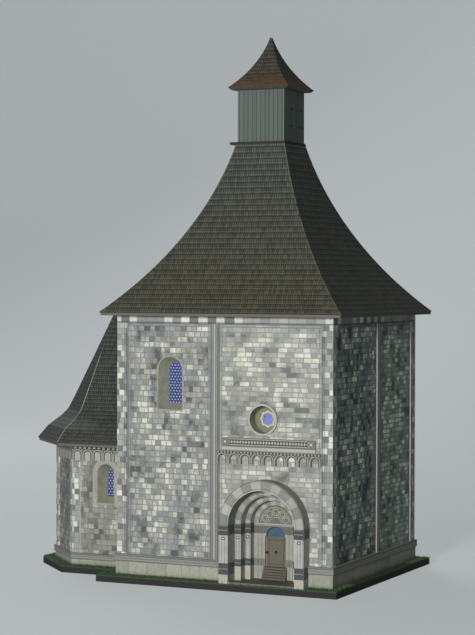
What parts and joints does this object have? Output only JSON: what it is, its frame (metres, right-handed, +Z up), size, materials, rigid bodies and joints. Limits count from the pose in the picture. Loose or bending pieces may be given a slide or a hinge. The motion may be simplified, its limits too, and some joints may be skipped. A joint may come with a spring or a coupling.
{
  "type": "card model of a church",
  "caption": "Printed card model of a Romanesque church on a base board: square nave, hipped roof with a lantern, polygonal apse and stepped round-arched portal.",
  "frame": {"origin": "under the lantern, at the middle of the nave's plan, on the underside of the base board", "axes": "+X along the entrance front towards the viewer's right as they face the portal, +Y from the portal to the back, +Z up"},
  "size_m": [0.1317, 0.0901, 0.1888],
  "materials": {
    "board_black": "matt black cut board",
    "turf_green": "short green flock",
    "stone_print": "printed grey and cream rubble stone, matt",
    "ashlar_print": "printed cream ashlar, matt",
    "moulding_print": "printed grey moulding, matt",
    "reveal_print": "printed olive-grey reveal, matt",
    "glazing_print": "printed leaded glazing, slightly glossy",
    "pale_stone": "printed pale carved stone, matt",
    "carved_print": "printed carved stone, matt",
    "shaft_print": "printed pale shafts with dark imposts, matt",
    "voussoir_print": "printed alternating arch stones, matt",
    "portal_print": "printed carved tympanum, matt",
    "door_print": "printed brown boarded door, matt",
    "fanlight_print": "printed blue light, slightly glossy",
    "steps_print": "printed brown-grey steps, matt",
    "soffit_print": "dark grey card, matt",
    "shingle_print": "printed dark brown shingles, matt",
    "boarding_print": "printed grey upright boards, matt"
  },
  "bodies": {
    "root": {"base_board": "board_black", "turf_mat": "turf_green", "nave_front_wall": "stone_print", "nave_right_wall": "stone_print", "nave_back_wall": "stone_print", "nave_left_wall": "stone_print", "front_wall_frame": "stone_print", "right_wall_frame": "stone_print", "back_wall_frame": "stone_print", "left_wall_frame": "stone_print", "nave_plinth": "ashlar_print", "nave_moulding": "moulding_print", "window_reveals": "reveal_print", "window_glass": "glazing_print", "oculus_ring": "pale_stone", "oculus_reveal": "reveal_print", "oculus_tracery": "pale_stone", "oculus_glass": "glazing_print", "string_course": "carved_print", "arcade_frieze": "carved_print", "portal_piers": "shaft_print", "portal_arch": "voussoir_print", "portal_outer_order": "voussoir_print", "portal_inner_order": "voussoir_print", "door_wall": "portal_print", "door_leaf": "door_print", "fanlight": "fanlight_print", "portal_steps": "steps_print", "eaves_board": "soffit_print", "roof_front": "shingle_print", "roof_right": "shingle_print", "roof_back": "shingle_print", "roof_left": "shingle_print", "cap_board": "board_black", "lantern_walls": "boarding_print", "lantern_roof": "shingle_print", "apse_side_walls": "stone_print", "apse_diagonal_walls": "stone_print", "apse_end_wall": "stone_print", "apse_plinth": "ashlar_print", "apse_moulding": "moulding_print", "apse_corner_strips": "stone_print", "apse_arched_frieze": "carved_print", "apse_eaves_board": "soffit_print", "apse_roof": "shingle_print"}
  },
  "joints": []
}
